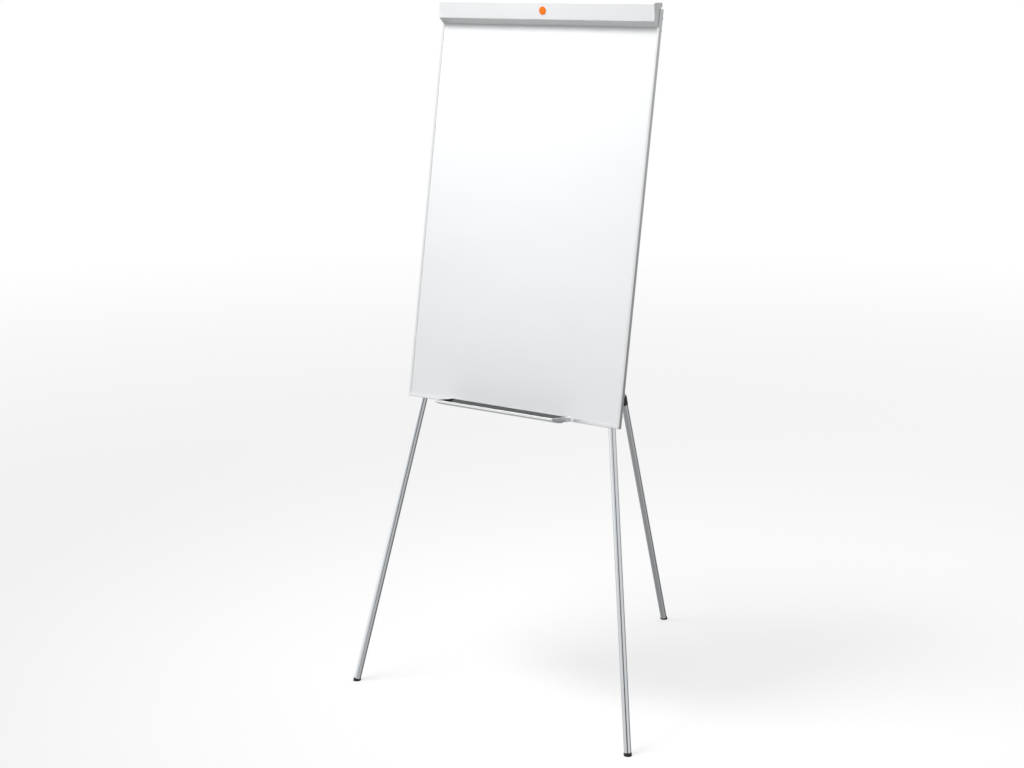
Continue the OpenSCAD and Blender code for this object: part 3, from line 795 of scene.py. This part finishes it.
def rounded_slab(x, z, low, high, corner, ease):
    """Plate with rounded corners in X and Z, from depth low to high, its front edge eased."""
    outline = []
    for cx, cz, first in ((x, z, 0), (-x, z, 90), (-x, -z, 180), (x, -z, 270)):
        for i in range(5):
            angle = math.radians(first + 22.5 * i)
            outline.append((
                cx - math.copysign(corner, cx) + corner * math.cos(angle),
                cz - math.copysign(corner, cz) + corner * math.sin(angle),
            ))
    verts = []
    for depth, inset in ((low, ease), (low + ease * 0.4, ease * 0.3), (low + ease, 0), (high, 0)):
        verts += [Vector((px * (1 - inset / x), depth, pz * (1 - inset / z))) for px, pz in outline]
    return verts, bridge(4, len(outline))


def peg(side):
    """Slider in the rail, face plate and a domed pin with a waist for the pad's punched hole."""
    node = "peg_" + side
    low, high = local_box(node, BOARD)
    centre = (low + high) / 2
    place = BOARD.copy()
    place.translation = BOARD @ Vector((centre.x, high.y, centre.z))
    half_x, half_z = (high.x - low.x) / 2, (high.z - low.z) / 2
    tip = low.y - high.y
    waist = PIN_RADIUS - 0.3 * MM
    root = PLATE_FRONT + 0.5 * MM
    pin = [(0.0, root), (PIN_RADIUS, root), (PIN_RADIUS, PLATE_FRONT - 0.6 * MM)]
    pin += [(waist, PLATE_FRONT - 1.2 * MM), (waist, tip + 4.4 * MM), (PIN_RADIUS, tip + 3.4 * MM)]
    pin += dome(PIN_RADIUS, tip + 2.6 * MM, tip, 8) + [(0.0, tip)]
    outward = Matrix(((1, 0, 0), (0, 0, 1), (0, -1, 0))).to_4x4()
    shapes = [
        rounded_slab(half_x - 1 * MM, 5.3 * MM, -1.6 * MM, 0, 1.2 * MM, 0.2 * MM),
        rounded_slab(half_x - 2 * MM, 2.8 * MM, PLATE_BACK - 0.4 * MM, -1.2 * MM, 1.0 * MM, 0.1 * MM),
        rounded_slab(half_x, half_z, PLATE_FRONT, PLATE_BACK, 2.4 * MM, 0.8 * MM),
        placed(lathe(pin, 40), outward),
    ]
    piece("pad_peg_" + side, placed(together(shapes), place), node, "plastic_black", replaces=[node])


for peg_side in FRONT_SIDES:
    peg(peg_side)


# ---------- Tray liner: its own dark colour, also painted shade for the trough ---

def circle_through(a, b, c):
    """Centre and radius of the circle through three points."""
    d = 2 * (a.x * (b.y - c.y) + b.x * (c.y - a.y) + c.x * (a.y - b.y))
    aa, bb, cc = a.length_squared, b.length_squared, c.length_squared
    centre = Vector((
        (aa * (b.y - c.y) + bb * (c.y - a.y) + cc * (a.y - b.y)) / d,
        (aa * (c.x - b.x) + bb * (a.x - c.x) + cc * (b.x - a.x)) / d,
    ))
    return centre, (a - centre).length


RIB_PITCH = 4.2 * MM
RIB_DEPTH = 0.6 * MM


def tray_liner():
    """Moulded liner with ribs along the trough and plain upturned ends. Its near-black colour is partly the
    liner's own and partly painted shade for the shadow inside the trough.
    """
    inverse = TRAY.inverted()
    points = [inverse @ v.co for v in NODES["tray_liner"].data.vertices]
    low, high = local_box("tray_liner", TRAY)
    outer_face = [Vector((p.y, p.z)) for p in points if abs(p.x - high.x) < 0.1 * MM]
    rear = min((p for p in outer_face if p.x > high.y - 0.1 * MM), key=lambda p: p.y)
    front = min((p for p in outer_face if p.x < low.y + 0.1 * MM), key=lambda p: p.y)
    bottom = min(outer_face, key=lambda p: p.y)
    rear_top = max((p for p in outer_face if p.x > high.y - 0.1 * MM), key=lambda p: p.y)
    front_top = max((p for p in outer_face if p.x < low.y + 0.1 * MM), key=lambda p: p.y)
    centre, under = circle_through(rear, bottom, front)
    inner_face = [Vector((p.y, p.z)) for p in points if abs(p.x - high.x) > 0.5 * MM]
    thick = under - min((p - centre).length for p in inner_face)

    def at(radius, depth):
        depth = min(max(depth, front.x), rear.x)
        return depth, centre.y - math.sqrt(radius ** 2 - (depth - centre.x) ** 2)

    def ribbed(depth):
        wave = 0.5 - 0.5 * math.cos(2 * math.pi * (depth - front.x) / RIB_PITCH)
        return under - thick + RIB_DEPTH * min(1, max(0, 2.2 * wave - 0.6))

    steps = 220
    depths = [front.x + (rear.x - front.x) * i / steps for i in range(steps + 1)]
    outline = [at(under, d) for d in depths[::-5]] + [at(ribbed(d), d) for d in depths]
    shapes = [extruded(outline, low.x + thick, high.x - thick, 0.0)]
    for inner, outer in ((low.x, low.x + thick), (high.x - thick, high.x)):
        wall = [at(under, d) for d in depths[::-5]] + [tuple(front_top), tuple(rear_top)]
        shapes.append(extruded(wall, inner, outer, 0.25 * MM))
    # The dark liner material paints the shade inside the trough as well as giving the liner's own colour.
    piece("ribbed_liner", placed(together(shapes), TRAY), "tray", "liner_dark", replaces=["tray_liner"])


tray_liner()


# ---------- Stage: floor, light and camera ----------

FLOOR_SEEN = 0.95
FLOOR_BOUNCE = 0.42
BACKDROP = 1.0
MATT_LOSS = 0.25
CAMERA_PLACE = Vector((2.7392, -4.2310, 1.9423))
CAMERA_YAW = 0.6139
CAMERA_PITCH = -0.2186
LENS = 65.33


def pale_floor():
    """One wide disc that fades into the tone of the backdrop. It gives back less light than it shows."""
    rings = [0.0, 2, 5, 12, 30, 80, 200]
    mesh = bpy.data.meshes.new("floor")
    verts, faces = lathe([(r, 0.0) for r in rings], 96)
    mesh.from_pydata([tuple(v) for v in verts], [], faces)
    floor = bpy.data.objects.new("floor", mesh)
    bpy.context.scene.collection.objects.link(floor)
    look = Look("floor_paint", Roughness=0.7)
    distance = look.add("ShaderNodeVectorMath", look.coords, operation="LENGTH")
    far = look.spread(distance.outputs["Value"], 0.5, 1, 1, 8)
    seen = look.add("ShaderNodeLightPath").outputs["Is Camera Ray"]
    look.set(
        Base_Color=look.blend(seen, colour(FLOOR_BOUNCE), colour(FLOOR_SEEN)), Specular_IOR_Level=0.1
    )
    glow = look.add("ShaderNodeEmission", colour(BACKDROP), 1.0)
    share = look.add("ShaderNodeMath", seen, far, operation="MULTIPLY")
    fade = look.add("ShaderNodeMixShader", share.outputs[0], look.shader.outputs[0], glow.outputs[0])
    look.tree.links.new(fade.outputs[0], look.tree.nodes["Material Output"].inputs["Surface"])
    mesh.materials.append(look.material)
    floor.visible_glossy = False


def studio_air():
    """A pale backdrop for the eye, and a softer room with a dark corner for light and gloss."""
    world = bpy.data.worlds.new("studio")
    bpy.context.scene.world = world
    world.use_nodes = True
    tree = world.node_tree
    nodes, links = tree.nodes, tree.links
    output = nodes["World Output"]
    room = nodes["Background"]
    direction = nodes.new("ShaderNodeTexCoord").outputs["Generated"]

    def math_node(operation, one, other):
        node = nodes.new("ShaderNodeMath")
        node.operation = operation
        for index, value in enumerate((one, other)):
            if isinstance(value, bpy.types.NodeSocket):
                links.new(value, node.inputs[index])
            else:
                node.inputs[index].default_value = value
        return node.outputs[0]

    def toward(way, start, end, low, high):
        dot = nodes.new("ShaderNodeVectorMath")
        dot.operation = "DOT_PRODUCT"
        links.new(direction, dot.inputs[0])
        dot.inputs[1].default_value = Vector(way).normalized()
        ramp = nodes.new("ShaderNodeMapRange")
        ramp.interpolation_type = "SMOOTHSTEP"
        links.new(dot.outputs["Value"], ramp.inputs[0])
        for index, value in enumerate((start, end, low, high)):
            ramp.inputs[index + 1].default_value = value
        return ramp.outputs[0]

    tone = toward((0, 0, 1), -0.9, 0.05, 0.3, 0.85)
    for shade in (
        toward((0.57, 0.8, -0.5), 0.8, 0.98, 1.0, 0.25),
        toward((0.5, -0.86, 0.0), 0.93, 0.98, 1.0, 0.1),
    ):
        tone = math_node("MULTIPLY", tone, shade)
    strip = math_node(
        "MULTIPLY", toward((-0.95, -0.3, 0.1), 0.75, 0.93, 0.0, 0.6), toward((0, 0, 1), -0.3, 0.03, 0.1, 1.0)
    )
    lamp_path = nodes.new("ShaderNodeLightPath")
    soak = math_node("SUBTRACT", 1.0, math_node("MULTIPLY", lamp_path.outputs["Is Diffuse Ray"], MATT_LOSS))
    links.new(math_node("MULTIPLY", math_node("ADD", tone, strip), soak), room.inputs["Strength"])
    room.inputs["Color"].default_value = (1, 1, 1, 1)
    backdrop = nodes.new("ShaderNodeBackground")
    backdrop.inputs["Color"].default_value = colour(BACKDROP)
    pick = nodes.new("ShaderNodeMixShader")
    links.new(lamp_path.outputs["Is Camera Ray"], pick.inputs[0])
    links.new(room.outputs[0], pick.inputs[1])
    links.new(backdrop.outputs[0], pick.inputs[2])
    links.new(pick.outputs[0], output.inputs["Surface"])


def softbox(name, place, target, size, power, spread=180):
    data = bpy.data.lights.new(name, "AREA")
    data.spread = math.radians(spread)
    data.shape = "RECTANGLE"
    data.size, data.size_y = size
    data.energy = power
    lamp = bpy.data.objects.new(name, data)
    bpy.context.scene.collection.objects.link(lamp)
    lamp.location = place
    lamp.rotation_mode = "QUATERNION"
    lamp.rotation_quaternion = (Vector(target) - Vector(place)).to_track_quat("-Z", "Y")


def camera():
    data = bpy.data.cameras.new("camera")
    data.lens = LENS
    data.sensor_width = 36
    seen = bpy.data.objects.new("camera", data)
    bpy.context.scene.collection.objects.link(seen)
    seen.location = CAMERA_PLACE
    seen.rotation_euler = (math.pi / 2 + CAMERA_PITCH, 0, CAMERA_YAW)
    bpy.context.scene.camera = seen


pale_floor()
studio_air()
softbox("key", (-0.6, -1.35, 3.6), (0.1, -0.2, 1.45), (1.3, 0.8), 14.8, spread=80)
softbox("top", (0.3, 0.2, 4.2), (0, 0, 0.6), (2.5, 2.5), 18)
camera()
view_settings = bpy.context.scene.view_settings
view_settings.view_transform = "Standard"
view_settings.look = "None"
